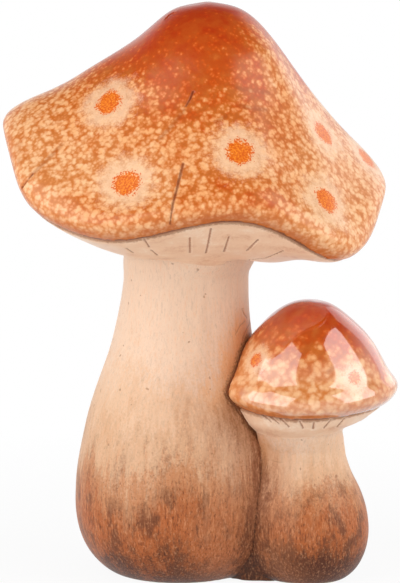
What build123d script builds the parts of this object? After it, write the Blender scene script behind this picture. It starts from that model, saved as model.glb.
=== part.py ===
"""Ceramic ornament of two mushrooms standing side by side.

Each mushroom is three hollow castings: a stem, a dome and the gill plate that closes the dome from below.
The castings are luted together with clay slip, and the small mushroom is cut to sit against the large stem.
Millimetres, +Z up, origin on the resting plane below the middle of the ornament's width.
"""

import os
from dataclasses import dataclass
from math import asin, cos, pi, radians, sin

from build123d import *

# Slip joints shared by both mushrooms
SLIP = 0.8  # thickness of slip left between two castings
SEAM_GROOVE = 0.7  # how far the slip in a rim seam lies below the glaze
SPIGOT_CLEARANCE = 0.4  # between a stem's spigot and the hole in the gill plate
SPIGOT_RISE = 3.0  # how far a spigot stands up above the gill plate
BEAD_SWELL = 0.5  # how far a wiped bead stands out from the neck
NECK_REBATE = 1.5  # cut round a shoulder to hold the bead of slip
COLLAR = 2.0  # height of the collar below a gill plate
FOOT_GRIND = 1.5  # ground off the round foot to make it stand flat
RINGS = 16  # even steps down a cap's outline at which its skin is shaped
RIM_ANGLE = -75  # on the rolled edge, where the gill plate begins
UNDERSIDE_CURVE = 1.5  # 1 is a straight cone from rim to neck, more hollows it near the neck
OVERRUN = 4.0  # how far a shape runs past the cut that trims it

# Large stem
LARGE_FOOT_X, LARGE_FOOT_Y = -9.5, 1.0
LARGE_FOOT_RADIUS = 16.0
LARGE_BELLY_RADIUS = 35.5
LARGE_BELLY_HEIGHT = 25.0
LARGE_NECK_X, LARGE_NECK_Y = -4.5, 0.0
LARGE_NECK_RADIUS = 21.5
LARGE_NECK_HEIGHT = 111.0
LARGE_STEM_WALL = 5.0
LARGE_SPIGOT_RADIUS = 15.0
LARGE_POUR_HOLE_RADIUS = 5.0
LARGE_BEAD = 2.4  # height of the wiped band of slip below the gill plate

# Large cap
LARGE_APEX_X, LARGE_APEX_Y = 3.0, 0.0
LARGE_CAP_HEIGHT = 89.0  # from the neck joint to the top of the crown
LARGE_CROWN_RADIUS = 26.5
LARGE_CROWN_EDGE = 20.0  # where the round crown runs out into the brim
LARGE_BRIM_SAG = 1.6
LARGE_ROLL_RADIUS = 6.5
LARGE_CAP_WALL = 4.0
# Reach from the leaning axis and rise above the neck, every 30 degrees round the edge from +X towards +Y
LARGE_ROLL_REACH = (67.0, 66.0, 60.0, 55.0, 57.0, 64.0, 68.0, 67.5, 60.0, 55.0, 58.0, 65.5)
LARGE_ROLL_RISE = (21.5, 27.0, 19.0, 13.0, 19.0, 36.0, 46.0, 28.0, 19.0, 24.0, 23.0, 10.0)

# Small stem, standing against the large one's side
LARGE_SIDE_X = LARGE_FOOT_X + LARGE_BELLY_RADIUS
SMALL_FOOT_OUT = 13.0  # from the large stem's side to the middle of the small foot
SMALL_FOOT_X = LARGE_SIDE_X + SMALL_FOOT_OUT
SMALL_FOOT_Y = -8.5
SMALL_FOOT_RADIUS = 8.0
SMALL_BELLY_RADIUS = 21.4
SMALL_BELLY_HEIGHT = 17.0
SMALL_NECK_OUT = 8.5
SMALL_NECK_X = LARGE_SIDE_X + SMALL_NECK_OUT
SMALL_NECK_Y = -12.0
SMALL_NECK_RADIUS = 14.5
SMALL_NECK_HEIGHT = 51.0
SMALL_STEM_WALL = 4.0
SMALL_SPIGOT_RADIUS = 7.0
SMALL_POUR_HOLE_RADIUS = 3.0
SMALL_BEAD = 1.6

# Small cap
SMALL_APEX_OUT = 12.0
SMALL_APEX_X = LARGE_SIDE_X + SMALL_APEX_OUT
SMALL_APEX_Y = -13.5
SMALL_CAP_HEIGHT = 47.5
SMALL_CROWN_RADIUS = 19.0
SMALL_CROWN_EDGE = 13.0
SMALL_BRIM_SAG = -2.2
SMALL_ROLL_RADIUS = 5.5
SMALL_CAP_WALL = 3.5
SMALL_ROLL_REACH = (33.0, 32.0, 30.5, 30.0, 30.0, 29.5, 29.0, 29.0, 29.5, 30.0, 30.5, 32.0)
SMALL_ROLL_RISE = (17.0, 17.0, 16.5, 16.0, 16.0, 16.5, 17.0, 16.5, 15.5, 15.0, 15.5, 16.5)

# Web of clay pressed between the two feet, narrowing upwards
WEB_INSET = 5.5  # from the large stem's side in to the middle of the web
WEB_X = LARGE_SIDE_X - WEB_INSET
WEB_Y = -6.0
WEB_WIDTH = 24.0
WEB_DEPTH = 28.0
WEB_TOP_INSET = 6.0
WEB_TOP_X = LARGE_SIDE_X - WEB_TOP_INSET
WEB_TOP_Y = -12.0
WEB_TOP_WIDTH = 7.0
WEB_TOP_DEPTH = 14.0
WEB_HEIGHT = 16.0
WEB_LIFT = 0.4  # clear of the resting plane


@dataclass
class Stem:
    """A bulbous stem, turned about an axis that leans from the foot's centre to the neck's."""

    foot: tuple
    foot_radius: float
    belly_radius: float
    belly_height: float
    neck: tuple
    neck_radius: float
    neck_height: float
    wall: float
    spigot_radius: float
    pour_hole_radius: float
    bead: float

    def lean(self):
        return Vector(*self.neck, self.neck_height) - Vector(*self.foot, 0)

    def across(self, rise):
        """The plane square to the leaning axis, at a rise above the neck joint."""
        middle = Vector(*self.neck, self.neck_height) + self.lean().normalized() * rise
        return Plane(origin=middle, x_dir=self.lean().cross(Vector(0, 1, 0)) * -1, z_dir=self.lean())

    def upright(self, origin):
        """The plane along the leaning axis, its x pointing away from it."""
        side = self.lean().cross(Vector(0, 1, 0))
        return Plane(origin=origin, x_dir=side, z_dir=side.cross(self.lean()))


@dataclass
class Cap:
    """A closed cap: a round crown, a waved brim with a rolled edge, and an underside down to the neck."""

    apex: tuple
    height: float
    crown_radius: float
    crown_edge: float
    brim_sag: float
    roll_radius: float
    roll_reach: tuple
    roll_rise: tuple
    stem: Stem

    def apex_height(self):
        return self.stem.neck_height + self.height

    def place(self, station, radius, level):
        """The point at a radius from the cap's leaning axis, towards a station round the edge."""
        turn = 2 * pi * station / len(self.roll_reach)
        rise = (level - self.stem.neck_height) / self.height
        x, y = (low + (high - low) * rise for low, high in zip(self.stem.neck, self.apex))
        return Vector(x + radius * cos(turn), y + radius * sin(turn), level)

    def on_roll(self, station, angle, distance):
        """Radius and level at a distance from the middle of the rolled edge."""
        turn = radians(angle)
        middle = self.roll_reach[station] - self.roll_radius
        level = self.stem.neck_height + self.roll_rise[station]
        return middle + distance * cos(turn), level + distance * sin(turn)


def stem_form(stem, grow):
    """The stem's outside as a solid, grown or shrunk all round, flat at the foot and at the neck joint."""
    lean = stem.lean()
    floor = max(0, -grow)
    low = floor - FOOT_GRIND
    top = lean.length + OVERRUN
    foot = stem.foot_radius + grow
    belly = stem.belly_radius + grow
    neck = stem.neck_radius + grow
    with BuildPart() as form:
        with BuildSketch(stem.upright((*stem.foot, 0))):
            with BuildLine():
                round_foot = EllipticalCenterArc(
                    (foot, stem.belly_height),
                    belly - foot,
                    stem.belly_height - low,
                    start_angle=-90,
                    arc_size=90,
                )
                middle = ((belly + neck) / 2, (stem.belly_height + stem.neck_height) / 2)
                swell = TangentArc((belly, stem.belly_height), middle, tangent=(0, 1))
                taper = TangentArc(middle, (neck, stem.neck_height), tangent=swell % 1)
                Polyline(taper @ 1, (neck, top), (0, top), (0, low), round_foot @ 0)
            make_face()
        revolve(axis=Axis((*stem.foot, 0), lean))
        split(bisect_by=Plane.XY.offset(floor), keep=Keep.TOP)
        split(bisect_by=stem.across(-SLIP - floor), keep=Keep.BOTTOM)
    return form.part


def stem_casting(stem, cap_wall):
    """A hollow stem with a shoulder and a spigot for its cap, and the pour hole in its foot."""
    spigot = SLIP + cap_wall + SPIGOT_RISE
    with BuildPart() as casting:
        add(stem_form(stem, 0))
        with BuildSketch(stem.across(-SLIP)):
            Circle(stem.neck_radius + OVERRUN)
            Circle(stem.neck_radius - NECK_REBATE, mode=Mode.SUBTRACT)
        extrude(amount=-stem.bead, mode=Mode.SUBTRACT)
        with BuildSketch(stem.across(-SLIP)):
            Circle(stem.spigot_radius)
        extrude(amount=spigot)
        add(stem_form(stem, -stem.wall), mode=Mode.SUBTRACT)
        with BuildSketch(stem.across(-SLIP - stem.wall)):
            Circle(stem.spigot_radius - stem.wall)
        extrude(amount=stem.wall + spigot, mode=Mode.SUBTRACT)
        with BuildSketch():
            with Locations(stem.foot):
                Circle(stem.pour_hole_radius)
        extrude(amount=stem.wall, mode=Mode.SUBTRACT)
    return casting.part


def neck_bead(stem):
    """The slip between a shoulder and its gill plate, wiped round into a bead that fills the rebate."""
    low = -SLIP - stem.bead
    rebate = stem.neck_radius - NECK_REBATE
    with BuildPart() as slip:
        with BuildSketch(stem.upright(stem.across(0).origin)):
            with BuildLine():
                bead = ThreePointArc(
                    (stem.neck_radius, low), (stem.neck_radius + BEAD_SWELL, low / 2), (stem.neck_radius, 0)
                )
                Polyline(
                    bead @ 1,
                    (stem.spigot_radius, 0),
                    (stem.spigot_radius, -SLIP),
                    (rebate, -SLIP),
                    (rebate, low),
                    bead @ 0,
                )
            make_face()
        revolve(axis=Axis(stem.across(0).origin, stem.lean()))
    return slip.part


def cap_outline(cap, station, inset, collar):
    """One upright outline of the cap's skin: crown, brim, rolled edge, underside and a collar at the neck."""
    crown = cap.crown_radius - inset
    profile = []
    for share in (0, 0.33, 0.67, 1):
        angle = share * asin(cap.crown_edge / cap.crown_radius)
        profile.append((crown * sin(angle), cap.apex_height() - cap.crown_radius + crown * cos(angle)))
    roll = [cap.on_roll(station, angle, cap.roll_radius - inset) for angle in (60, 0, RIM_ANGLE)]
    edge = profile[-1]
    for share in (0.36, 0.7):
        radius = edge[0] + (roll[0][0] - edge[0]) * share
        profile.append((radius, edge[1] + (roll[0][1] - edge[1]) * share - cap.brim_sag * sin(pi * share)))
    points = [cap.place(station, radius, level) for radius, level in profile + roll]
    rim = points[-1]
    turn = 2 * pi * station / len(cap.roll_reach)
    outward = Vector(cos(turn), sin(turn), 0)
    joint = cap.stem.across(COLLAR + inset)
    neck = joint.from_local_coords(outward * (cap.stem.neck_radius - inset))
    for share in (0.75, 0.45, 0.15):
        flat = neck + (rim - neck) * share
        points.append(Vector(flat.X, flat.Y, neck.Z + (rim.Z - neck.Z) * share**UNDERSIDE_CURVE))
    points.append(neck - joint.z_dir * collar)
    return Edge.make_spline(points)


def closed_curve(points):
    """A smooth closed wire that passes the points at even steps."""
    return Wire([Edge.make_spline(points, periodic=True, parameters=list(range(len(points) + 1)))])


def cap_form(cap, inset, collar):
    """The cap's skin as a solid, set in from the outside, with a flat end at the neck."""
    outlines = [cap_outline(cap, station, inset, collar) for station in range(len(cap.roll_reach))]
    rings = [closed_curve([outline @ (ring / RINGS) for outline in outlines]) for ring in range(1, RINGS + 1)]
    apex = Vertex(*cap.apex, cap.apex_height() - inset)
    return Solid.make_loft([apex] + rings)


def rim_plug(cap, shrink):
    """Everything inside the rim seam: a wall through the rolled edge, closed to a point above and below."""
    stations = len(cap.roll_reach)
    walls = []
    for distance in (cap.roll_radius + OVERRUN, 0):
        points = []
        for station in range(stations):
            behind = (station + stations // 3) % stations
            radius, level = cap.on_roll(behind, RIM_ANGLE, distance)
            points.append(cap.place(behind, radius - shrink, level))
        walls.append(closed_curve(points))
    below = Vertex(*cap.stem.neck, cap.stem.neck_height / 3)
    above = Vertex(*cap.apex, cap.stem.neck_height + cap.height / 2)
    return Solid.make_loft([below] + walls + [above], ruled=True)


LARGE_STEM = Stem(
    (LARGE_FOOT_X, LARGE_FOOT_Y),
    LARGE_FOOT_RADIUS,
    LARGE_BELLY_RADIUS,
    LARGE_BELLY_HEIGHT,
    (LARGE_NECK_X, LARGE_NECK_Y),
    LARGE_NECK_RADIUS,
    LARGE_NECK_HEIGHT,
    LARGE_STEM_WALL,
    LARGE_SPIGOT_RADIUS,
    LARGE_POUR_HOLE_RADIUS,
    LARGE_BEAD,
)
SMALL_STEM = Stem(
    (SMALL_FOOT_X, SMALL_FOOT_Y),
    SMALL_FOOT_RADIUS,
    SMALL_BELLY_RADIUS,
    SMALL_BELLY_HEIGHT,
    (SMALL_NECK_X, SMALL_NECK_Y),
    SMALL_NECK_RADIUS,
    SMALL_NECK_HEIGHT,
    SMALL_STEM_WALL,
    SMALL_SPIGOT_RADIUS,
    SMALL_POUR_HOLE_RADIUS,
    SMALL_BEAD,
)
LARGE_CAP = Cap(
    (LARGE_APEX_X, LARGE_APEX_Y),
    LARGE_CAP_HEIGHT,
    LARGE_CROWN_RADIUS,
    LARGE_CROWN_EDGE,
    LARGE_BRIM_SAG,
    LARGE_ROLL_RADIUS,
    LARGE_ROLL_REACH,
    LARGE_ROLL_RISE,
    LARGE_STEM,
)
SMALL_CAP = Cap(
    (SMALL_APEX_X, SMALL_APEX_Y),
    SMALL_CAP_HEIGHT,
    SMALL_CROWN_RADIUS,
    SMALL_CROWN_EDGE,
    SMALL_BRIM_SAG,
    SMALL_ROLL_RADIUS,
    SMALL_ROLL_REACH,
    SMALL_ROLL_RISE,
    SMALL_STEM,
)

# Forms that the castings are cut from
large_stem_outside = stem_form(LARGE_STEM, 0)
large_stem_luted = stem_form(LARGE_STEM, SLIP)
large_cap_outside = cap_form(LARGE_CAP, 0, COLLAR)
large_cap_hollow = cap_form(LARGE_CAP, LARGE_CAP_WALL, 0)
large_cap_groove = cap_form(LARGE_CAP, SEAM_GROOVE, COLLAR)
large_rim_outer = rim_plug(LARGE_CAP, 0)
large_rim_inner = rim_plug(LARGE_CAP, SLIP)
small_stem_outside = stem_form(SMALL_STEM, 0)
small_stem_whole = stem_casting(SMALL_STEM, SMALL_CAP_WALL)
small_cap_outside = cap_form(SMALL_CAP, 0, COLLAR)
small_cap_hollow = cap_form(SMALL_CAP, SMALL_CAP_WALL, 0)
small_cap_groove = cap_form(SMALL_CAP, SEAM_GROOVE, COLLAR)
small_rim_outer = rim_plug(SMALL_CAP, 0)
small_rim_inner = rim_plug(SMALL_CAP, SLIP)

os.makedirs("parts", exist_ok=True)

# Large stem
with BuildPart() as large_stem:
    add(stem_casting(LARGE_STEM, LARGE_CAP_WALL))
large_stem.part.label = "large_stem"
export_step(large_stem.part, "parts/large_stem.step")

# Large cap dome: the crown, the brim and the rolled edge down to the rim seam
with BuildPart() as large_cap_dome:
    add(large_cap_outside)
    add(large_cap_hollow, mode=Mode.SUBTRACT)
    add(large_rim_outer, mode=Mode.SUBTRACT)
large_cap_dome.part.label = "large_cap_dome"
export_step(large_cap_dome.part, "parts/large_cap_dome.step")

# Large gill plate: closes the dome from below and takes the stem's spigot
with BuildPart() as large_cap_gill_plate:
    add(large_cap_outside)
    add(large_cap_hollow, mode=Mode.SUBTRACT)
    add(large_rim_inner, mode=Mode.INTERSECT)
    with BuildSketch(LARGE_STEM.across(0)):
        Circle(LARGE_SPIGOT_RADIUS + SPIGOT_CLEARANCE)
    extrude(amount=2 * LARGE_CAP_WALL, mode=Mode.SUBTRACT)
large_cap_gill_plate.part.label = "large_cap_gill_plate"
export_step(large_cap_gill_plate.part, "parts/large_cap_gill_plate.step")

# Slip in the large rim seam, a little below the glaze so that a fine groove shows
with BuildPart() as large_cap_rim_slip:
    add(large_cap_groove)
    add(large_cap_hollow, mode=Mode.SUBTRACT)
    add(large_rim_outer, mode=Mode.INTERSECT)
    add(large_rim_inner, mode=Mode.SUBTRACT)
large_cap_rim_slip.part.label = "large_cap_rim_slip"
export_step(large_cap_rim_slip.part, "parts/large_cap_rim_slip.step")

# Slip between the large shoulder and its gill plate
with BuildPart() as large_neck_slip:
    add(neck_bead(LARGE_STEM))
large_neck_slip.part.label = "large_neck_slip"
export_step(large_neck_slip.part, "parts/large_neck_slip.step")

# Small stem, cut back where it meets the large one
with BuildPart() as small_stem:
    add(small_stem_whole)
    add(large_stem_luted, mode=Mode.SUBTRACT)
small_stem.part.label = "small_stem"
export_step(small_stem.part, "parts/small_stem.step")

# Small cap dome, cut back where it leans on the large stem
with BuildPart() as small_cap_dome:
    add(small_cap_outside)
    add(small_cap_hollow, mode=Mode.SUBTRACT)
    add(small_rim_outer, mode=Mode.SUBTRACT)
    add(large_stem_luted, mode=Mode.SUBTRACT)
small_cap_dome.part.label = "small_cap_dome"
export_step(small_cap_dome.part, "parts/small_cap_dome.step")

# Small gill plate
with BuildPart() as small_cap_gill_plate:
    add(small_cap_outside)
    add(small_cap_hollow, mode=Mode.SUBTRACT)
    add(small_rim_inner, mode=Mode.INTERSECT)
    with BuildSketch(SMALL_STEM.across(0)):
        Circle(SMALL_SPIGOT_RADIUS + SPIGOT_CLEARANCE)
    extrude(amount=2 * SMALL_CAP_WALL, mode=Mode.SUBTRACT)
    add(large_stem_luted, mode=Mode.SUBTRACT)
small_cap_gill_plate.part.label = "small_cap_gill_plate"
export_step(small_cap_gill_plate.part, "parts/small_cap_gill_plate.step")

# Slip in the small rim seam
with BuildPart() as small_cap_rim_slip:
    add(small_cap_groove)
    add(small_cap_hollow, mode=Mode.SUBTRACT)
    add(small_rim_outer, mode=Mode.INTERSECT)
    add(small_rim_inner, mode=Mode.SUBTRACT)
    add(large_stem_luted, mode=Mode.SUBTRACT)
small_cap_rim_slip.part.label = "small_cap_rim_slip"
export_step(small_cap_rim_slip.part, "parts/small_cap_rim_slip.step")

# Slip between the small shoulder and its gill plate, cut back where it meets the large stem
with BuildPart() as small_neck_slip:
    add(neck_bead(SMALL_STEM))
    add(large_stem_luted, mode=Mode.SUBTRACT)
small_neck_slip.part.label = "small_neck_slip"
export_step(small_neck_slip.part, "parts/small_neck_slip.step")

# Slip between the small cap's cut wall and the large stem
with BuildPart() as cap_side_slip:
    add(small_cap_outside)
    add(small_cap_hollow, mode=Mode.SUBTRACT)
    add(large_stem_luted, mode=Mode.INTERSECT)
    add(large_stem_outside, mode=Mode.SUBTRACT)
cap_side_slip.part.label = "cap_side_slip"
export_step(cap_side_slip.part, "parts/cap_side_slip.step")

# Slip between the two stems, with the web of clay that fills the gap between their feet
with BuildPart() as stem_side_web:
    with BuildSketch(Plane.XY.offset(WEB_LIFT)):
        with Locations((WEB_X, WEB_Y)):
            Ellipse(WEB_WIDTH / 2, WEB_DEPTH / 2)
    with BuildSketch(Plane.XY.offset(WEB_LIFT + WEB_HEIGHT)):
        with Locations((WEB_TOP_X, WEB_TOP_Y)):
            Ellipse(WEB_TOP_WIDTH / 2, WEB_TOP_DEPTH / 2)
    loft()
    add(large_stem_outside, mode=Mode.SUBTRACT)
    add(small_stem_outside, mode=Mode.SUBTRACT)
with BuildPart() as stem_side_slip:
    add(small_stem_whole)
    add(large_stem_luted, mode=Mode.INTERSECT)
    add(large_stem_outside, mode=Mode.SUBTRACT)
    add(stem_side_web.part)
stem_side_slip.part.label = "stem_side_slip"
export_step(stem_side_slip.part, "parts/stem_side_slip.step")
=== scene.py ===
import math
import random

import bmesh
import bpy
import numpy as np
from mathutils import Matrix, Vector, noise
from mathutils.bvhtree import BVHTree


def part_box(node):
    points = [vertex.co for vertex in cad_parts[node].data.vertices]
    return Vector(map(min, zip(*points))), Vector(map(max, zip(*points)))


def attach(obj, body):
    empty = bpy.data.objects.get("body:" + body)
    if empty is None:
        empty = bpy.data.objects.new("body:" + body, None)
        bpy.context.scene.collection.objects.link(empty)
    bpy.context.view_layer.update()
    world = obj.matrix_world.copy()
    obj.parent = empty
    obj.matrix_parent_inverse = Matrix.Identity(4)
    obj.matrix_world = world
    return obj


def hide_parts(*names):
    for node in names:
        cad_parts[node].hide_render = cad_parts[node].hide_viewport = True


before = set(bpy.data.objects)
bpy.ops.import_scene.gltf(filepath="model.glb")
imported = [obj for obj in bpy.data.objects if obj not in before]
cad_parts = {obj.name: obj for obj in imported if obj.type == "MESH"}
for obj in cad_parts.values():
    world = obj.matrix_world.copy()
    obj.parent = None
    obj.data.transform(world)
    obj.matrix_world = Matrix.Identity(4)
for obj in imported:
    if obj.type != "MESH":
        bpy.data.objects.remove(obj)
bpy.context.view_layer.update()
scene = bpy.context.scene
scene.view_settings.view_transform = "Standard"

# Camera
# The ornament is seen from the front with a long lens, from a little above level.
# The sight line through a pixel of that view tells where a mark lies on the clay.
VIEW_WIDTH, VIEW_HEIGHT = 400, 583
ELEVATION = math.radians(9)
DISTANCE = 1.4
AIM_LEVEL = 0.0991
PIXELS_PER_METRE = 2870
SENSOR = 36

focal_pixels = PIXELS_PER_METRE * DISTANCE
forward = Vector((0, math.cos(ELEVATION), -math.sin(ELEVATION)))
right = Vector((1, 0, 0))
up = right.cross(forward)
eye = Vector((0, 0, AIM_LEVEL)) - forward * DISTANCE

optics = bpy.data.cameras.new("camera")
optics.sensor_width = SENSOR
optics.lens = SENSOR * focal_pixels / VIEW_HEIGHT
camera = bpy.data.objects.new("camera", optics)
camera.location = eye
camera.rotation_euler = (math.pi / 2 - ELEVATION, 0, 0)
scene.collection.objects.link(camera)
scene.camera = camera


def sight(x, y):
    """Direction from the camera through a pixel of the view."""
    return (forward * focal_pixels + right * (x - VIEW_WIDTH / 2) + up * (VIEW_HEIGHT / 2 - y)).normalized()


# Large stem
# A hollow slip casting of white clay with a bulbous foot, sponged smooth while leather hard.
# Its cream glaze is brushed over from the foot up with brown oxide, which gathers where the small
# mushroom is luted on, and painted shade darkens it there as well.
MM = 0.001
LARGE_STEM_GRAIN = 0.9 * MM
LARGE_WASH = (0, 85 * MM)
# A closeness of 2 makes the dark of the joint fade out within half the distance.
LARGE_CLOSENESS = 1.0
LARGE_STEM_WAVES = (0.25 * MM, 14 * MM)
SPONGING = 5
TOOL_NICKS = (
    ((242, 309), (244, 314), (247, 318)),
    ((245, 321), (240, 326), (236, 334)),
    ((251, 322), (247, 328), (243, 338)),
    ((228, 403), (231, 406), (235, 406)),
    ((226, 396), (229, 400)),
    ((236, 408), (239, 413), (243, 418)),
)
NICK_DEPTH = 0.14 * MM
NICK_WIDTH = 0.32 * MM
BURR = 0.3
STROKE_STEPS = 6
LUTE_REACH = 8 * MM
FOOT_FADE = 3 * MM
WEB_EDGE = -1.8 * MM
WEB_CLOSENESS = 1.7


def casting(node, name, grain):
    """A fine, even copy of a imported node, its edges softened as sponging and glaze soften them."""
    piece = bpy.data.objects.new(name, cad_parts[node].data.copy())
    piece.data.materials.clear()
    scene.collection.objects.link(piece)
    even = piece.modifiers.new("even", "REMESH")
    even.mode = "VOXEL"
    even.voxel_size = grain
    soften = piece.modifiers.new("soften", "SMOOTH")
    soften.factor = 0.5
    soften.iterations = SPONGING
    finished = bpy.data.meshes.new_from_object(piece.evaluated_get(bpy.context.evaluated_depsgraph_get()))
    piece.modifiers.clear()
    piece.data = finished
    finished.name = name
    finished.shade_smooth()
    return piece


def points_of(piece):
    flat = np.empty(len(piece.data.vertices) * 3, np.float32)
    piece.data.vertices.foreach_get("co", flat)
    return flat.reshape(-1, 3).astype(float)


def push(piece, amounts):
    """Moves each point of a piece along its normal."""
    flat = np.empty(len(piece.data.vertices) * 3, np.float32)
    piece.data.vertex_normals.foreach_get("vector", flat)
    moved = points_of(piece) + flat.reshape(-1, 3) * np.asarray(amounts)[:, None]
    piece.data.vertices.foreach_set("co", moved.astype(np.float32).ravel())
    piece.data.update()


def note(piece, name, values):
    """Writes one number per point, which the glaze reads by name."""
    field = piece.data.attributes.new(name, "FLOAT", "POINT")
    field.data.foreach_set("value", np.asarray(values, np.float32))


def unevenness(points, depth, size):
    """Smooth waves of about that depth and size, as a hand leaves them in soft clay."""
    return depth * np.array([noise.noise(Vector(point) / size) for point in points])


def off_the_ground(points):
    """0 on the ground face, which stays flat, and 1 from a little above it."""
    return np.clip(points[:, 2] / FOOT_FADE, 0, 1)


def skin_of(piece):
    return BVHTree.FromObject(piece, bpy.context.evaluated_depsgraph_get())


def packed_skin(node):
    """The surface of a node as it was packed."""
    return skin_of(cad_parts[node])


def distance_to_skins(points, skins):
    """Distance of each point from the nearest of some surfaces."""
    return np.array([min(skin.find_nearest(Vector(point))[3] for skin in skins) for point in points])


def lute(piece, neighbours):
    """Swells a piece towards its neighbours, as slip smoothed over the corner between them does."""
    body = points_of(piece)
    close = np.maximum(LUTE_REACH - distance_to_skins(body, neighbours), 0)
    push(piece, close**2 / (4 * LUTE_REACH) * off_the_ground(body))


def drawn_on(skin, strokes):
    """The lines that strokes over pixels of the view leave on a surface."""
    lines = []
    for stroke in strokes:
        line = []
        for (x0, y0), (x1, y1) in zip(stroke[:-1], stroke[1:]):
            for share in np.linspace(0, 1, STROKE_STEPS):
                hit = skin.ray_cast(eye, sight(x0 + (x1 - x0) * share, y0 + (y1 - y0) * share))[0]
                if hit is not None:
                    line.append(np.array(hit))
        lines.append(line)
    return lines


def distance_to_lines(points, lines):
    """Distance of each point from the nearest of some lines."""
    nearest = np.full(len(points), 1.0)
    for line in lines:
        for start, end in zip(line[:-1], line[1:]):
            along = end - start
            share = np.clip(((points - start) @ along) / max(along @ along, 1e-12), 0, 1)
            nearest = np.minimum(nearest, np.linalg.norm(points - start - share[:, None] * along, axis=1))
    return nearest


def refine(piece, lines, reach, rounds=2):
    """Divides the mesh near some lines, so that a narrow cut has a clean shape there."""
    for _ in range(rounds):
        shape = bmesh.new()
        shape.from_mesh(piece.data)
        near = distance_to_lines(np.array([vert.co for vert in shape.verts]), lines) < reach
        shape.verts.index_update()
        edges = [edge for edge in shape.edges if near[edge.verts[0].index] and near[edge.verts[1].index]]
        bmesh.ops.subdivide_edges(shape, edges=edges, cuts=1, use_grid_fill=True, smooth=0)
        shape.to_mesh(piece.data)
        shape.free()
    piece.data.shade_smooth()


def incise(piece, lines, depth, width):
    """Cuts lines into the clay, with a low burr along both sides, and notes the distance from them."""
    refine(piece, lines, 3 * width)
    away = distance_to_lines(points_of(piece), lines)
    cut = depth * np.exp(-((away / width) ** 2))
    burr = BURR * depth * np.exp(-(((away - 2 * width) / width) ** 2))
    push(piece, burr - cut)
    note(piece, "cut", away / width)


def paint(red, green, blue):
    """A colour as it is seen, 0 to 255, as shares of linear light."""
    seen = np.array((red, green, blue)) / 255
    linear = np.where(seen <= 0.04045, seen / 12.92, ((seen + 0.055) / 1.055) ** 2.4)
    return (*linear, 1.0)


def feed(tree, socket, value):
    """Sets a socket to a value, or links an output to it."""
    if isinstance(value, bpy.types.NodeSocket):
        tree.links.new(value, socket)
    else:
        socket.default_value = value


def add_node(tree, kind, inputs, output=0, **settings):
    """Adds a node, feeds its inputs and returns one of its outputs."""
    node = tree.nodes.new(kind)
    for setting, value in settings.items():
        setattr(node, setting, value)
    for socket, value in inputs.items():
        feed(tree, node.inputs[socket], value)
    return node.outputs[output]


class Glaze:
    """A glaze as a node material. Each method adds one ingredient and returns its output."""

    def __init__(self, name):
        self.material = bpy.data.materials.new(name)
        self.material.use_nodes = True
        self.tree = self.material.node_tree
        self.shader = self.tree.nodes["Principled BSDF"]
        self.place = self.add("ShaderNodeTexCoord", {}, "Object")

    def add(self, kind, inputs, output=0, **settings):
        return add_node(self.tree, kind, inputs, output, **settings)

    def field(self, name):
        return self.add("ShaderNodeAttribute", {}, "Fac", attribute_name=name)

    def stretch(self, x, y, z):
        return self.add("ShaderNodeVectorMath", {0: self.place, 1: (x, y, z)}, operation="MULTIPLY")

    def cloud(self, place, size, detail, roughness):
        """Cloudy noise about 0.5 with lumps of that size."""
        inputs = {"Vector": place, "Scale": 1 / size, "Detail": detail, "Roughness": roughness}
        return self.add("ShaderNodeTexNoise", inputs, "Fac")

    def cells(self, place, size, smoothness):
        """Distance from the middle of each of a pack of cells of that size."""
        inputs = {"Vector": place, "Scale": 1 / size, "Smoothness": smoothness}
        return self.add("ShaderNodeTexVoronoi", inputs, "Distance", feature="SMOOTH_F1")

    def sum(self, *terms):
        total = terms[0]
        for term in terms[1:]:
            total = self.add("ShaderNodeMath", {0: total, 1: term}, operation="ADD")
        return total

    def times(self, *factors):
        product = factors[0]
        for factor in factors[1:]:
            product = self.add("ShaderNodeMath", {0: product, 1: factor}, operation="MULTIPLY")
        return product

    def swing(self, value, amount):
        """A value about 0.5 turned into one about 0, swinging by an amount either way."""
        return self.add("ShaderNodeMath", {0: value, 1: 2 * amount, 2: -amount}, operation="MULTIPLY_ADD")

    def rise(self, value, low, high):
        """0 below low, 1 above high and smooth between. With low above high it falls instead."""
        inputs = {"Value": value, 1: low, 2: high, 3: 0.0, 4: 1.0}
        if low > high:
            inputs = {"Value": value, 1: high, 2: low, 3: 1.0, 4: 0.0}
        return self.add("ShaderNodeMapRange", inputs, interpolation_type="SMOOTHSTEP")

    def grade(self, value, *stops):
        """A colour for each value, blended between stops."""
        node = self.tree.nodes.new("ShaderNodeValToRGB")
        node.color_ramp.interpolation = "EASE"
        while len(node.color_ramp.elements) < len(stops):
            node.color_ramp.elements.new(1.0)
        for element, (position, colour) in zip(node.color_ramp.elements, stops):
            element.position = position
            element.color = colour
        feed(self.tree, node.inputs[0], value)
        return node.outputs[0]

    def over(self, share, below, above):
        """One colour laid over another."""
        return self.add("ShaderNodeMix", {0: share, 6: below, 7: above}, 2, data_type="RGBA")

    def fire(self, colour, roughness, height, depth):
        """Joins the colour, the roughness and the relief to the shader."""
        feed(self.tree, self.shader.inputs["Base Color"], colour)
        feed(self.tree, self.shader.inputs["Roughness"], roughness)
        relief = self.add("ShaderNodeBump", {"Height": height, "Distance": depth, "Strength": 1.0})
        feed(self.tree, self.shader.inputs["Normal"], relief)
        return self.material


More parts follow.
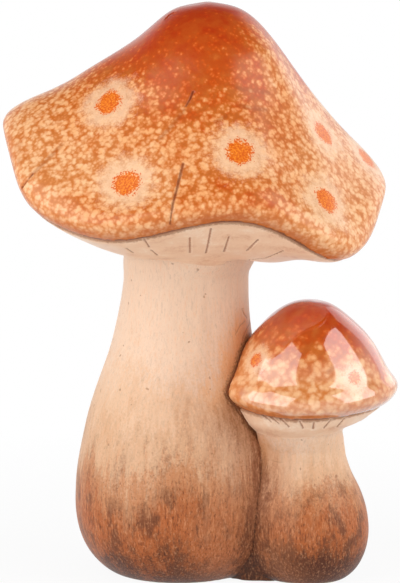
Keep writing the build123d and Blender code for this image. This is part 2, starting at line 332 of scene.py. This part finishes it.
def brushed_stem_glaze():
    glaze = Glaze("brushed_stem_glaze")
    level = glaze.field("level")
    joint = glaze.field("joint")
    strokes = glaze.cloud(glaze.stretch(1, 1, 0.09), 1.7 * MM, 3.0, 0.6)
    threads = glaze.cloud(glaze.stretch(1, 1, 0.13), 0.8 * MM, 4.0, 0.75)
    veils = glaze.cloud(glaze.stretch(1, 1, 0.3), 7 * MM, 3.0, 0.6)
    patches = glaze.cloud(glaze.stretch(1, 1, 0.5), 20 * MM, 2.0, 0.5)
    smoke = glaze.cloud(glaze.stretch(1, 1, 0.6), 6 * MM, 4.0, 0.65)
    grit = glaze.cloud(glaze.place, 0.8 * MM, 2.0, 0.6)
    height = glaze.sum(
        level,
        glaze.swing(strokes, 0.13),
        glaze.swing(threads, 0.2),
        glaze.swing(veils, 0.14),
        glaze.swing(patches, 0.24),
        glaze.swing(grit, 0.12),
    )
    wash = glaze.grade(
        height,
        (0.0, paint(82, 40, 20)),
        (0.08, paint(150, 80, 38)),
        (0.17, paint(180, 98, 50)),
        (0.29, paint(174, 96, 50)),
        (0.44, paint(194, 132, 90)),
        (0.6, paint(218, 173, 136)),
        (0.76, paint(230, 190, 156)),
        (1.0, paint(238, 205, 178)),
    )
    low = glaze.rise(height, 0.75, 0.2)
    clear = glaze.rise(height, 0.0, 0.3)
    ashed = glaze.over(glaze.times(glaze.rise(veils, 0.52, 0.7), low, clear, 0.4), wash, paint(148, 108, 82))
    smoked = glaze.over(glaze.times(glaze.rise(smoke, 0.49, 0.64), low, 0.7), ashed, paint(90, 50, 30))
    near = glaze.sum(joint, glaze.swing(strokes, 9.0), glaze.swing(veils, 8.0), glaze.swing(grit, 4.0))
    # Painted shade and brown oxide together: the stem is painted darker and browner towards the small
    # mushroom and the web, on the side turned from the light.
    shade = glaze.times(glaze.rise(near, 38.0, 3.0), glaze.rise(height, 1.8, 0.5), 0.5)
    shaded = glaze.over(shade, smoked, paint(176, 112, 72))
    stain = glaze.grade(
        height,
        (0.1, paint(70, 34, 18)),
        (0.45, paint(132, 76, 46)),
        (0.95, paint(240, 172, 116)),
    )
    stained = glaze.over(glaze.times(glaze.rise(near, 12.0, 0.0), 0.8), shaded, stain)
    # Painted glints and pale streaks together: light streaks along the brush threads stand partly for the
    # glaze's own paler streaks and partly for glints off its rough surface.
    pale_streak_and_glint_tint = glaze.grade(
        height,
        (0.0, paint(166, 102, 66)),
        (0.3, paint(212, 148, 102)),
        (0.6, paint(234, 186, 148)),
    )
    with_pale_streaks_and_glints = glaze.over(glaze.times(glaze.rise(threads, 0.48, 0.36), 0.52), stained, pale_streak_and_glint_tint)
    dark = glaze.times(glaze.rise(threads, 0.53, 0.66), glaze.sum(glaze.times(low, 0.5), 0.14))
    streaked = glaze.over(dark, with_pale_streaks_and_glints, paint(98, 50, 26))
    flecks = glaze.cloud(glaze.stretch(1, 1, 0.4), 0.6 * MM, 2.0, 0.6)
    # Painted glints and pale flecks together: bright flecks stand partly for the glaze's own mottling and
    # partly for glints off its rough surface.
    pale_flecks_and_glints = glaze.times(glaze.rise(flecks, 0.55, 0.68), glaze.sum(glaze.times(low, 0.3), 0.03))
    flecked = glaze.over(pale_flecks_and_glints, streaked, paint(222, 162, 118))
    specks = glaze.times(glaze.rise(flecks, 0.44, 0.3), glaze.sum(glaze.times(low, 0.56), 0.1))
    speckled = glaze.over(specks, flecked, paint(86, 44, 24))
    crease = glaze.rise(glaze.sum(joint, glaze.swing(grit, 1.2)), 1.8, 0.1)
    line = glaze.grade(height, (0.3, paint(58, 30, 18)), (0.9, paint(146, 90, 56)))
    creased = glaze.over(glaze.times(crease, 0.85), speckled, line)
    nick = glaze.times(glaze.rise(glaze.field("cut"), 1.6, 0.2), 0.3)
    nicked = glaze.over(nick, creased, paint(112, 66, 42))
    pores = glaze.rise(glaze.cloud(glaze.place, 2.4 * MM, 1.0, 0.4), 0.75, 0.78)
    pored = glaze.over(glaze.times(pores, 0.5), nicked, paint(146, 88, 56))
    bare = glaze.rise(glaze.field("ground"), 0.6, 0.2)
    ground = glaze.over(bare, pored, glaze.over(grit, paint(226, 206, 182), paint(240, 226, 206)))
    relief = glaze.sum(glaze.times(strokes, 0.6), glaze.times(threads, 0.5), glaze.times(grit, 0.4))
    gloss = glaze.sum(0.3, glaze.times(bare, 0.5), glaze.times(grit, 0.16), glaze.times(patches, 0.1))
    glaze.shader.inputs["Specular IOR Level"].default_value = 0.26
    return glaze.fire(ground, gloss, relief, 0.22 * MM)


def dress_stem(piece, wash, neighbours, closeness):
    """Notes on a stem where the brown wash fades out and how near the other mushroom is."""
    body = points_of(piece)
    note(piece, "level", (body[:, 2] - wash[0]) / (wash[1] - wash[0]))
    to_web = distance_to_skins(body, [web_skin]) * WEB_CLOSENESS + WEB_EDGE
    note(piece, "joint", np.minimum(distance_to_skins(body, neighbours) * closeness, to_web) / MM)
    note(piece, "ground", body[:, 2] / MM)
    piece.data.materials.append(stem_glaze)
    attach(piece, "root")


large_stem = casting("large_stem", "large_stem_glazed", LARGE_STEM_GRAIN)
incise(large_stem, drawn_on(skin_of(large_stem), TOOL_NICKS), NICK_DEPTH, NICK_WIDTH)
large_stem_skin = packed_skin("large_stem")
small_stem_skin = packed_skin("small_stem")
web_skin = packed_skin("stem_side_slip")
small_mushroom = [small_stem_skin, packed_skin("small_cap_dome"), packed_skin("small_cap_gill_plate")]
lute(large_stem, [small_stem_skin, web_skin])
body = points_of(large_stem)
push(large_stem, unevenness(body, *LARGE_STEM_WAVES) * off_the_ground(body))
stem_glaze = brushed_stem_glaze()
dress_stem(large_stem, LARGE_WASH, small_mushroom, LARGE_CLOSENESS)
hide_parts("large_stem")


# Large gill plate
# A thin casting that closes the cap from below and drops over the stem's spigot.
# Gill lines are drawn into it with a pointed tool, and its thin cream glaze lets them show brown.
GILL_GRAIN = 0.75 * MM
LARGE_GILL_STROKES = (
    ((126, 248), (133, 253)),
    ((144, 239), (149, 247)),
    ((151, 250), (157, 255)),
    ((190, 238), (190, 253)),
    ((211, 229), (209, 240), (206, 253)),
    ((229, 237), (224, 252)),
    ((258, 240), (247, 251)),
    ((283, 251), (266, 258), (226, 262)),
)
LARGE_GILL_COUNT, LARGE_GILL_SEED = 34, 3
GILL_DEPTH = 0.32 * MM
GILL_WIDTH = 0.36 * MM
GILL_STEPS = 5
PLATE_WAVES = (0.15 * MM, 9 * MM)
FRONT = (math.radians(205), math.radians(335))
SIDEWAYS, FRONT_TO_BACK = 0, 1


def gills_behind(skin, centre, count, inner, outer, seed):
    """Hand-drawn gill strokes round the part of a plate that is turned away from the view."""
    chance = random.Random(seed)
    strokes = []
    for index in range(count):
        turn = 2 * math.pi * (index + chance.uniform(-0.3, 0.3)) / count
        start = chance.uniform(0.7, 0.92)
        end = start - chance.uniform(0.2, 0.4)
        lean = chance.uniform(-0.05, 0.05)
        if FRONT[0] < turn % (2 * math.pi) < FRONT[1]:
            continue
        stroke = []
        for share in np.linspace(0, 1, GILL_STEPS):
            reach = inner + (outer - inner) * (start + (end - start) * share)
            angle = turn + lean * share
            below = Vector((centre[0] + reach * math.cos(angle), centre[1] + reach * math.sin(angle), 0))
            hit = skin.ray_cast(below, Vector((0, 0, 1)))[0]
            if hit is not None:
                stroke.append(np.array(hit))
        strokes.append(stroke)
    return strokes


def thin_gill_glaze():
    glaze = Glaze("thin_gill_glaze")
    wash = glaze.cloud(glaze.stretch(0.5, 0.5, 1), 7 * MM, 3.0, 0.6)
    grit = glaze.cloud(glaze.place, 0.8 * MM, 2.0, 0.6)
    smears = glaze.cloud(glaze.stretch(1, 1, 0.3), 2.0 * MM, 2.0, 0.6)
    base = glaze.grade(
        glaze.sum(wash, glaze.swing(grit, 0.12), glaze.swing(smears, 0.12)),
        (0.25, paint(222, 172, 138)),
        (0.5, paint(240, 202, 170)),
        (0.75, paint(248, 221, 196)),
    )
    rim = glaze.times(glaze.rise(glaze.sum(glaze.field("rim"), glaze.swing(grit, 0.8)), 1.6, 0.4), 0.7)
    edged = glaze.over(rim, base, paint(150, 88, 48))
    cut = glaze.field("cut")
    burr = glaze.over(glaze.times(glaze.rise(cut, 3.2, 1.6), 0.35), edged, paint(244, 214, 188))
    line = glaze.times(glaze.rise(glaze.sum(cut, glaze.swing(grit, 0.9)), 1.5, 0.3), 0.7)
    lined = glaze.over(line, burr, paint(150, 86, 48))
    relief = glaze.sum(glaze.times(grit, 0.5), glaze.times(smears, 0.6))
    glaze.shader.inputs["Specular IOR Level"].default_value = 0.35
    return glaze.fire(lined, glaze.sum(0.3, glaze.times(grit, 0.15)), relief, 0.12 * MM)


def draw_gills(piece, node, neck, across, strokes, count, seed):
    """Draws gills into a plate from its neck, measured across one axis, towards its rim."""
    skin = skin_of(piece)
    neck_low, neck_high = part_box(neck)
    plate_low, plate_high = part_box(node)
    inner = (neck_high[across] - neck_low[across]) / 2
    outer = (plate_high.y - plate_low.y) / 2
    behind = gills_behind(skin, (neck_low + neck_high) / 2, count, inner, outer, seed)
    incise(piece, drawn_on(skin, strokes) + behind, GILL_DEPTH, GILL_WIDTH)


def dress_plate(piece, node, rim):
    """Notes on a plate how near its rim is."""
    note(piece, "rim", distance_to_skins(points_of(piece), [rim]) / MM)
    piece.data.materials.append(gill_glaze)
    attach(piece, "root")
    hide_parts(node)


large_plate = casting("large_cap_gill_plate", "large_gill_plate_glazed", GILL_GRAIN)
large_rim = packed_skin("large_cap_rim_slip")
draw_gills(
    large_plate,
    "large_cap_gill_plate",
    "large_neck_slip",
    SIDEWAYS,
    LARGE_GILL_STROKES,
    LARGE_GILL_COUNT,
    LARGE_GILL_SEED,
)
push(large_plate, unevenness(points_of(large_plate), *PLATE_WAVES))
gill_glaze = thin_gill_glaze()
dress_plate(large_plate, "large_cap_gill_plate", large_rim)


# Large cap dome
# A hollow casting with a waved, rolled brim, scored with cracks while the clay is leather hard.
# Its orange reactive glaze breaks into pale cells towards the rim, and spots are dabbed on with a sponge.
DOME_GRAIN = 0.85 * MM
# Cracks cut the clay and scrapes only mark the glaze, which lies thicker along runs and thinner along thins.
CRACKS = (
    ((170, 224), (173, 203), (176, 192), (183, 164)),
    ((186, 106), (190, 99), (193, 92)),
    ((22, 188), (27, 181), (33, 174)),
    ((166, 19), (170, 15), (174, 13)),
)
SCRAPES = (
    ((160, 138), (172, 126), (184, 110)),
    ((33, 174), (42, 165), (61, 145)),
    ((216, 122), (226, 116)),
    ((238, 88), (268, 93)),
    ((240, 106), (266, 110)),
)
RUNS = (
    ((222, 186), (252, 196), (284, 206)),
    ((192, 200), (206, 212), (226, 216)),
    ((70, 205), (110, 214), (150, 214)),
)
THINS = (((258, 34), (286, 76), (312, 116), (340, 165)),)
RUN_WIDTH = 0.1
RUN_THICKNESS = 0.32
THIN_AND_PAINTED_LIGHT_WIDTH = 0.14
THIN_AND_PAINTED_LIGHT_GAIN = 0.34
CRACK_DEPTH = 0.4 * MM
CRACK_WIDTH = 0.36 * MM
FOLD = ((268, 60), (294, 110), (314, 160), (325, 205), (337, 246))
FOLD_HEIGHT = 1.2 * MM
FOLD_WIDTH = 9 * MM
LARGE_SPOTS = ((109, 103), (126, 183), (240, 152), (323, 133), (327, 201), (367, 158))
LARGE_SPOTS_BEHIND = (
    (18, 0.165),
    (42, 0.145),
    (66, 0.168),
    (92, 0.15),
    (118, 0.172),
    (140, 0.145),
    (165, 0.166),
)
LARGE_SPOT_RADIUS = 4.5 * MM
LARGE_FALL = 85 * MM
CAP_WAVES = (0.3 * MM, 16 * MM)
WELL_OUTSIDE = 0.2


def spots_on(skin, centre, seen, behind):
    """The middles of a cap's spots: those in view by their pixels, the others by turn and level."""
    spots = [skin.ray_cast(eye, sight(x, y))[0] for x, y in seen]
    for turn, level in behind:
        outward = Vector((math.cos(math.radians(turn)), math.sin(math.radians(turn)), 0))
        spots.append(skin.ray_cast(Vector((*centre, level)) + outward * WELL_OUTSIDE, -outward)[0])
    return [np.array(spot) for spot in spots]


def breaking_cap_glaze(name, haze, shine, polish, cell, blur):
    glaze = Glaze(name)
    fall = glaze.field("fall")
    spot = glaze.field("spot")
    wander = glaze.cloud(glaze.place, 18 * MM, 3.0, 0.55)
    clumps = glaze.cloud(glaze.place, 4.5 * MM, 3.0, 0.6)
    grit = glaze.cloud(glaze.place, 0.6 * MM, 2.0, 0.6)
    ripple = {"Vector": glaze.place, "Scale": 1 / (1.6 * MM), "Detail": 2.0}
    drift = glaze.add("ShaderNodeTexNoise", ripple, "Color")
    drifted = glaze.add("ShaderNodeVectorMath", {0: drift, 1: (0.9 * MM,) * 3}, operation="MULTIPLY")
    bent = glaze.add("ShaderNodeVectorMath", {0: glaze.place, 1: drifted}, operation="ADD")
    coarse = glaze.cells(bent, cell, 0.25)
    fine = glaze.cells(bent, 0.52 * cell, 0.25)
    thick = glaze.rise(glaze.sum(fall, glaze.swing(wander, 0.2), glaze.swing(clumps, 0.14)), 0.78, 0.26)
    net = glaze.sum(
        glaze.times(coarse, 0.6),
        glaze.times(fine, 0.45),
        glaze.swing(clumps, 0.16),
        glaze.swing(wander, 0.12),
        glaze.swing(grit, 0.13),
        glaze.times(thick, 0.4),
    )
    tone = glaze.sum(fall, glaze.swing(clumps, 0.36), glaze.swing(wander, 0.16))
    pale = glaze.grade(
        tone,
        (0.2, paint(214, 98, 30)),
        (0.42, paint(232, 140, 72)),
        (0.62, paint(243, 174, 114)),
        (0.95, paint(247, 194, 144)),
    )
    rust = glaze.grade(
        glaze.sum(tone, glaze.swing(grit, 0.1)),
        (0.1, paint(194, 60, 8)),
        (0.42, paint(206, 84, 16)),
        (0.7, paint(210, 112, 42)),
        (1.0, paint(218, 134, 70)),
    )
    broken = glaze.over(glaze.rise(net, 0.28, 0.74), pale, rust)
    deep = glaze.grade(
        tone,
        (0.15, paint(168, 48, 8)),
        (0.6, paint(172, 78, 26)),
        (0.95, paint(188, 102, 48)),
    )
    pooled = glaze.over(glaze.times(glaze.rise(net, 0.58, 0.92), 0.5), broken, deep)
    halo = glaze.rise(glaze.sum(spot, glaze.swing(clumps, 1.3), glaze.swing(grit, 0.7)), 2.9, 1.3)
    bared = glaze.over(grit, paint(249, 212, 176), paint(240, 190, 144))
    haloed = glaze.over(glaze.times(halo, 0.8), pooled, bared)
    dab = glaze.rise(glaze.sum(spot, glaze.swing(clumps, 0.45), glaze.swing(grit, 0.9)), 1 + blur, 1 - blur)
    orange = glaze.over(glaze.rise(grit, 0.35, 0.68), paint(220, 90, 6), paint(246, 142, 36))
    dabbed = glaze.over(dab, haloed, orange)
    scrape = glaze.times(glaze.rise(glaze.field("scrape"), 1.4, 0.2), 0.4)
    scraped = glaze.over(scrape, dabbed, paint(158, 74, 30))
    edge = glaze.rise(glaze.sum(glaze.field("rim"), glaze.swing(clumps, 4.0)), 6.5, 0.5)
    edged = glaze.over(glaze.times(edge, 0.85), scraped, paint(188, 96, 36))
    seam = glaze.rise(glaze.sum(glaze.field("rim"), glaze.swing(grit, 0.6)), 1.2, 0.4)
    seamed = glaze.over(glaze.times(seam, 0.6), edged, paint(124, 66, 32))
    ragged = glaze.sum(glaze.field("cut"), glaze.swing(grit, 1.0), glaze.swing(clumps, 1.2))
    crack = glaze.rise(ragged, 2.0, 0.1)
    cracked = glaze.over(glaze.times(crack, 0.7), seamed, paint(122, 58, 28))
    relief = glaze.sum(glaze.times(clumps, 1.0), glaze.times(net, -0.3), glaze.times(grit, 0.12))
    glaze.shader.inputs["IOR"].default_value = 1.6
    glaze.shader.inputs["Specular IOR Level"].default_value = shine
    glaze.shader.inputs["Coat Weight"].default_value = polish
    glaze.shader.inputs["Coat Roughness"].default_value = 0.05
    glaze.shader.inputs["Coat IOR"].default_value = 1.95
    gloss = glaze.sum(haze, glaze.times(grit, 0.1), glaze.times(dab, 0.1), glaze.times(crack, 0.6))
    return glaze.fire(cracked, gloss, relief, 0.08 * MM)


def dress_cap(piece, node, rim, spots, spot_radius, reach, cracks, scrapes, runs, thins_and_painted_light):
    """Scores a dome and notes where its glaze breaks, its spots lie and its rim ends."""
    skin = skin_of(piece)
    incise(piece, drawn_on(skin, cracks), CRACK_DEPTH, CRACK_WIDTH)
    note(piece, "scrape", distance_to_lines(points_of(piece), drawn_on(skin, scrapes)) / MM)
    push(piece, unevenness(points_of(piece), *CAP_WAVES))
    shell = points_of(piece)
    apex = shell[shell[:, 2].argmax()]
    nearest_spot = np.min([np.linalg.norm(shell - spot, axis=1) for spot in spots], axis=0)
    to_run = distance_to_lines(shell, drawn_on(skin, runs)) / (RUN_WIDTH * reach)
    # The glaze is noted paler along the lines given as thins: thinner glaze on the large cap, painted light
    # on the small cap's shaded left edge.
    to_thin_and_painted_light = distance_to_lines(shell, drawn_on(skin, thins_and_painted_light)) / (THIN_AND_PAINTED_LIGHT_WIDTH * reach)
    thicker, thinner_and_painted_light = RUN_THICKNESS * np.exp(-(to_run**2)), THIN_AND_PAINTED_LIGHT_GAIN * np.exp(-(to_thin_and_painted_light**2))
    note(piece, "fall", np.linalg.norm(shell - apex, axis=1) / reach - thicker + thinner_and_painted_light)
    note(piece, "spot", nearest_spot / spot_radius)
    note(piece, "rim", distance_to_skins(shell, [rim]) / MM)
    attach(piece, "root")
    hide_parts(node)


large_dome = casting("large_cap_dome", "large_cap_glazed", DOME_GRAIN)
from_fold = distance_to_lines(points_of(large_dome), drawn_on(skin_of(large_dome), [FOLD]))
push(large_dome, FOLD_HEIGHT * np.exp(-((from_fold / FOLD_WIDTH) ** 2)))
dress_cap(
    large_dome,
    "large_cap_dome",
    large_rim,
    spots_on(skin_of(large_dome), (0, 0), LARGE_SPOTS, LARGE_SPOTS_BEHIND),
    LARGE_SPOT_RADIUS,
    LARGE_FALL,
    CRACKS,
    SCRAPES,
    RUNS,
    THINS,
)
breaking_glaze = breaking_cap_glaze(
    "breaking_cap_glaze", haze=0.18, shine=0.26, polish=0.0, cell=2.5 * MM, blur=0.1
)
large_dome.data.materials.append(breaking_glaze)


# Large rim slip
# Clay slip squeezed into the seam where the dome meets the gill plate, left a little below the glaze.
# Brown oxide settles in the groove and shows as a fine dark line.
def oxide_slip():
    glaze = Glaze("oxide_slip")
    grit = glaze.cloud(glaze.place, 0.8 * MM, 3.0, 0.6)
    lumps = glaze.cloud(glaze.place, 4 * MM, 2.0, 0.5)
    colour = glaze.grade(
        glaze.sum(grit, glaze.swing(lumps, 0.2)),
        (0.25, paint(96, 50, 26)),
        (0.55, paint(138, 78, 42)),
        (0.85, paint(176, 112, 68)),
    )
    return glaze.fire(colour, glaze.sum(0.45, glaze.times(grit, 0.3)), glaze.sum(grit, lumps), 0.2 * MM)


def settle(node, slip):
    """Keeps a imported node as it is, under a slip of its own."""
    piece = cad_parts[node]
    piece.data.materials.clear()
    piece.data.materials.append(slip)


dark_slip = oxide_slip()
settle("large_cap_rim_slip", dark_slip)


# Large neck slip
# Slip pressed between shoulder and gill plate and wiped round with a wet finger into a thin, uneven band.
# The stem's cream glaze runs over it, so that hardly more than a low ridge shows.
BAND_LOW, BAND_HIGH = -6.5 * MM, 4.0 * MM
BAND_SWELL = 0.35 * MM
BAND_BACK = 1.2 * MM
BAND_START = 40 * MM
BAND_FLARE = 3 * MM
BAND_JOINT = 2.8 * MM
BAND_EDGE = 0.1 * MM
BAND_WAVES = (0.15 * MM, 7 * MM)
BAND_RIPPLES = (0.12 * MM, 2.5 * MM)
BAND_ROWS, BAND_COLUMNS = 23, 180
BAND_SPAN, BAND_WIPES = 6, 4
UNCUT = 9.0


def leave_uncut(piece):
    """Notes on a piece that no tool was drawn over it."""
    note(piece, "cut", np.full(len(piece.data.vertices), UNCUT))


def wiped_band(node, name, skins):
    """A band of slip feathered out over the stem below a joint and the gill plate above it."""
    low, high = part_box(node)
    middle = (low + high) / 2
    rows = np.linspace(BAND_LOW, BAND_HIGH, BAND_ROWS)
    swell = BAND_SWELL * (1 - ((rows - rows.mean()) / (rows[-1] - rows.mean())) ** 2) - BAND_EDGE
    away = np.abs(rows) > BAND_JOINT
    turns = np.linspace(0, 2 * math.pi, BAND_COLUMNS, endpoint=False)
    fair = []
    for turn in turns:
        outward = Vector((math.cos(turn), math.sin(turn), 0))
        reach = []
        for row in rows:
            start = middle + outward * BAND_START + Vector((0, 0, row))
            hits = [skin.ray_cast(start, -outward)[3] for skin in skins]
            reach.append(BAND_START - min(hit for hit in hits if hit is not None))
        neck = reach[0] + BAND_FLARE
        fair.append(np.interp(rows, rows[away], np.minimum(reach, neck)[away]))
    span = range(-BAND_SPAN, BAND_SPAN + 1)
    fair = np.median([np.roll(fair, step, axis=0) for step in span], axis=0)
    for _ in range(BAND_WIPES):
        fair[:, 1:-1] = (fair[:, :-2] + 2 * fair[:, 1:-1] + fair[:, 2:]) / 4
    fair = fair + swell
    outer, inner = [], []
    for turn, radii in zip(turns, fair):
        outward = Vector((math.cos(turn), math.sin(turn), 0))
        for row, radius in zip(rows, radii):
            outer.append(middle + outward * radius + Vector((0, 0, row)))
            inner.append(middle + outward * (radius - BAND_BACK) + Vector((0, 0, row)))
    count = len(outer)
    faces = []
    for column in range(BAND_COLUMNS):
        here, there = column * BAND_ROWS, (column + 1) % BAND_COLUMNS * BAND_ROWS
        last = BAND_ROWS - 1
        for row in range(last):
            a, b, c, d = here + row, there + row, there + row + 1, here + row + 1
            faces += [(a, b, c, d), (count + a, count + d, count + c, count + b)]
        faces.append((here, count + here, count + there, there))
        faces.append((here + last, there + last, count + there + last, count + here + last))
    mesh = bpy.data.meshes.new(name)
    mesh.from_pydata(outer + inner, [], faces)
    mesh.shade_smooth()
    band = bpy.data.objects.new(name, mesh)
    scene.collection.objects.link(band)
    ring = points_of(band)
    push(band, unevenness(ring, *BAND_WAVES) + unevenness(ring, *BAND_RIPPLES))
    leave_uncut(band)
    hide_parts(node)
    return band


large_band = wiped_band("large_neck_slip", "large_neck_band", [skin_of(large_stem), skin_of(large_plate)])
dress_stem(large_band, LARGE_WASH, small_mushroom, LARGE_CLOSENESS)


# Small stem
# The same kind of casting, cut with a wire to sit against the large stem.
# The brown wash covers its foot and the side next to the joint.
SMALL_GRAIN = 0.7 * MM
SMALL_WASH = (12 * MM, 57 * MM)
SMALL_CLOSENESS = 2.8
SMALL_STEM_WAVES = (0.2 * MM, 10 * MM)

small_stem = casting("small_stem", "small_stem_glazed", SMALL_GRAIN)
lute(small_stem, [large_stem_skin, web_skin])
body = points_of(small_stem)
push(small_stem, unevenness(body, *SMALL_STEM_WAVES) * off_the_ground(body))
leave_uncut(small_stem)
dress_stem(small_stem, SMALL_WASH, [skin_of(large_stem)], SMALL_CLOSENESS)
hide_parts("small_stem")


# Small gill plate and its neck slip
# A thin casting like the large plate, with shorter gill strokes, dropped over the small spigot.
# Its joint with the stem is wiped round with slip in the same way.
SMALL_GILL_STROKES = (
    ((261, 413), (271, 422)),
    ((270, 416), (279, 424)),
    ((280, 418), (289, 427)),
    ((300, 422), (303, 428)),
    ((314, 423), (313, 429)),
    ((331, 420), (324, 428)),
    ((344, 419), (337, 427)),
)
SMALL_GILL_COUNT, SMALL_GILL_SEED = 22, 5

small_plate = casting("small_cap_gill_plate", "small_gill_plate_glazed", SMALL_GRAIN)
small_rim = packed_skin("small_cap_rim_slip")
draw_gills(
    small_plate,
    "small_cap_gill_plate",
    "small_neck_slip",
    FRONT_TO_BACK,
    SMALL_GILL_STROKES,
    SMALL_GILL_COUNT,
    SMALL_GILL_SEED,
)
dress_plate(small_plate, "small_cap_gill_plate", small_rim)
small_band = wiped_band("small_neck_slip", "small_neck_band", [skin_of(small_stem), skin_of(small_plate)])
dress_stem(small_band, SMALL_WASH, [skin_of(large_stem)], SMALL_CLOSENESS)


# Small cap dome and its rim slip
# A round hollow casting, cut away where it leans on the large stem and luted to its plate with slip.
# It carries the same reactive glaze, fuller and shinier, with dark oxide in the rim seam.
SMALL_SPOTS = ((256, 360), (355, 378))
SMALL_RUNS = (((356, 330), (378, 362), (389, 394)),)
# Painted light: the small cap's left edge lies in the large stem's shade, and its glaze is painted paler
# along this line.
SMALL_PAINTED_LIGHT = (((233, 398), (237, 376), (248, 352)),)
SMALL_SPOTS_BEHIND = ((20, 0.078), (75, 0.076), (125, 0.08))
SMALL_SCRAPES = (((329, 372), (334, 367)),)
SMALL_SPOT_RADIUS = 2.4 * MM
SMALL_FALL = 42 * MM

small_dome = casting("small_cap_dome", "small_cap_glazed", SMALL_GRAIN)
small_low, small_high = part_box("small_cap_dome")
small_centre = ((small_low.x + small_high.x) / 2, (small_low.y + small_high.y) / 2)
dress_cap(
    small_dome,
    "small_cap_dome",
    small_rim,
    spots_on(skin_of(small_dome), small_centre, SMALL_SPOTS, SMALL_SPOTS_BEHIND),
    SMALL_SPOT_RADIUS,
    SMALL_FALL,
    (),
    SMALL_SCRAPES,
    SMALL_RUNS,
    SMALL_PAINTED_LIGHT,
)
full_glaze = breaking_cap_glaze("full_cap_glaze", haze=0.1, shine=0.15, polish=1.0, cell=3.6 * MM, blur=0.35)
small_dome.data.materials.append(full_glaze)
settle("small_cap_rim_slip", dark_slip)


# Side slips
# Slip that lutes the small cap and the small stem to the large stem, with a web of clay pressed
# between the feet. It is smeared off with a tool and stained dark by the oxide that collects there.
SIDE_GRAIN = 0.4 * MM
WEB_JOINT = 0.9
WEB_WAVES = (0.2 * MM, 4 * MM)

settle("cap_side_slip", dark_slip)
stem_side = casting("stem_side_slip", "stem_side_web", SIDE_GRAIN)
lute(stem_side, [large_stem_skin, small_stem_skin])
push(stem_side, unevenness(points_of(stem_side), *WEB_WAVES))
leave_uncut(stem_side)
web = points_of(stem_side)
note(stem_side, "level", web[:, 2] / LARGE_WASH[1])
note(stem_side, "joint", np.full(len(web), WEB_JOINT))
note(stem_side, "ground", web[:, 2] / MM)
stem_side.data.materials.append(stem_glaze)
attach(stem_side, "root")
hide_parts("stem_side_slip")


# Studio
# A pale floor, two tall softboxes left and right of the camera and a weaker one behind on the right.
# The room is white round about and dim overhead.
# Each softbox has a turn from the camera in degrees, distance, level, width, height and glow.
SOFTBOXES = (
    ("softbox_left", -51, 0.5, 0.31, 0.64, 0.62, 2.07),
    ("softbox_right", 66, 0.5, 0.3, 0.4, 0.56, 2.5),
    ("softbox_behind", 138, 1.3, 0.7, 0.8, 1.1, 0.7),
)
ROOM_LIGHT = 0.38
WALL_TOP, CEILING = 0.3, 0.75
WALL_GLOW, CEILING_GLOW = 1.0, 0.05
FLOOR_SIZE = 12
FLOOR_GREY = (0.82, 0.82, 0.82, 1)
FLOOR_ROUGHNESS = 0.9
SHADOW_NEAR, SHADOW_FAR = 0.09, 0.26
WHITE_NEAR, WHITE_FAR = 0.92, 1.0


def softbox(name, azimuth, distance, level, width, height, glow):
    """A lamp standing round the ornament and turned towards it."""
    light = bpy.data.lights.new(name, "AREA")
    light.shape = "RECTANGLE"
    light.size = width
    light.size_y = height
    light.energy = glow * math.pi * width * height
    lamp = bpy.data.objects.new(name, light)
    lamp.visible_camera = False
    turn = math.radians(azimuth)
    lamp.location = (math.sin(turn) * distance, -math.cos(turn) * distance, level)
    lamp.rotation_euler = (lamp.location - Vector((0, 0, AIM_LEVEL))).to_track_quat("Z", "Y").to_euler()
    scene.collection.objects.link(lamp)


def ray_is(tree, kind):
    """1 for light of one kind and 0 for the rest."""
    return add_node(tree, "ShaderNodeLightPath", {}, f"Is {kind} Ray")


def ray_is_either(tree, one, other):
    inputs = {0: ray_is(tree, one), 1: ray_is(tree, other)}
    return add_node(tree, "ShaderNodeMath", inputs, operation="MAXIMUM")


for box in SOFTBOXES:
    softbox(*box)

room = bpy.data.worlds.new("room")
room.use_nodes = True
scene.world = room
tree = room.node_tree
background = tree.nodes["Background"]
background.inputs["Color"].default_value = (1, 1, 1, 1)
direction = add_node(tree, "ShaderNodeTexCoord", {}, "Generated")
climb = add_node(tree, "ShaderNodeSeparateXYZ", {0: direction}, "Z")
heights = {0: climb, 1: WALL_TOP, 2: CEILING, 3: WALL_GLOW, 4: CEILING_GLOW}
walls = add_node(tree, "ShaderNodeMapRange", heights, interpolation_type="SMOOTHSTEP")
mirrored = add_node(tree, "ShaderNodeMix", {0: ray_is(tree, "Glossy"), 2: ROOM_LIGHT, 3: walls})
seen = ray_is_either(tree, "Camera", "Transmission")
strength = add_node(tree, "ShaderNodeMix", {0: seen, 2: mirrored, 3: 1.0})
feed(tree, background.inputs["Strength"], strength)

edge = FLOOR_SIZE / 2
floor_mesh = bpy.data.meshes.new("floor")
floor_corners = [(-edge, -edge, 0), (edge, -edge, 0), (edge, edge, 0), (-edge, edge, 0)]
floor_mesh.from_pydata(floor_corners, [], [(0, 1, 2, 3)])
floor = bpy.data.objects.new("floor", floor_mesh)
scene.collection.objects.link(floor)
floor_paint = bpy.data.materials.new("floor_paint")
floor_paint.use_nodes = True
tree = floor_paint.node_tree
matt = tree.nodes["Principled BSDF"]
matt.inputs["Base Color"].default_value = FLOOR_GREY
matt.inputs["Roughness"].default_value = FLOOR_ROUGHNESS
place = add_node(tree, "ShaderNodeTexCoord", {}, "Object")
away = add_node(tree, "ShaderNodeVectorMath", {0: place}, "Value", operation="LENGTH")
distances = {0: away, 1: SHADOW_NEAR, 2: SHADOW_FAR, 3: WHITE_NEAR, 4: WHITE_FAR}
fade = add_node(tree, "ShaderNodeMapRange", distances)
seen = ray_is_either(tree, "Camera", "Glossy")
share = add_node(tree, "ShaderNodeMath", {0: seen, 1: fade}, operation="MULTIPLY")
white = add_node(tree, "ShaderNodeEmission", {})
blend = add_node(tree, "ShaderNodeMixShader", {0: share, 1: matt.outputs[0], 2: white})
feed(tree, tree.nodes["Material Output"].inputs["Surface"], blend)
floor_mesh.materials.append(floor_paint)
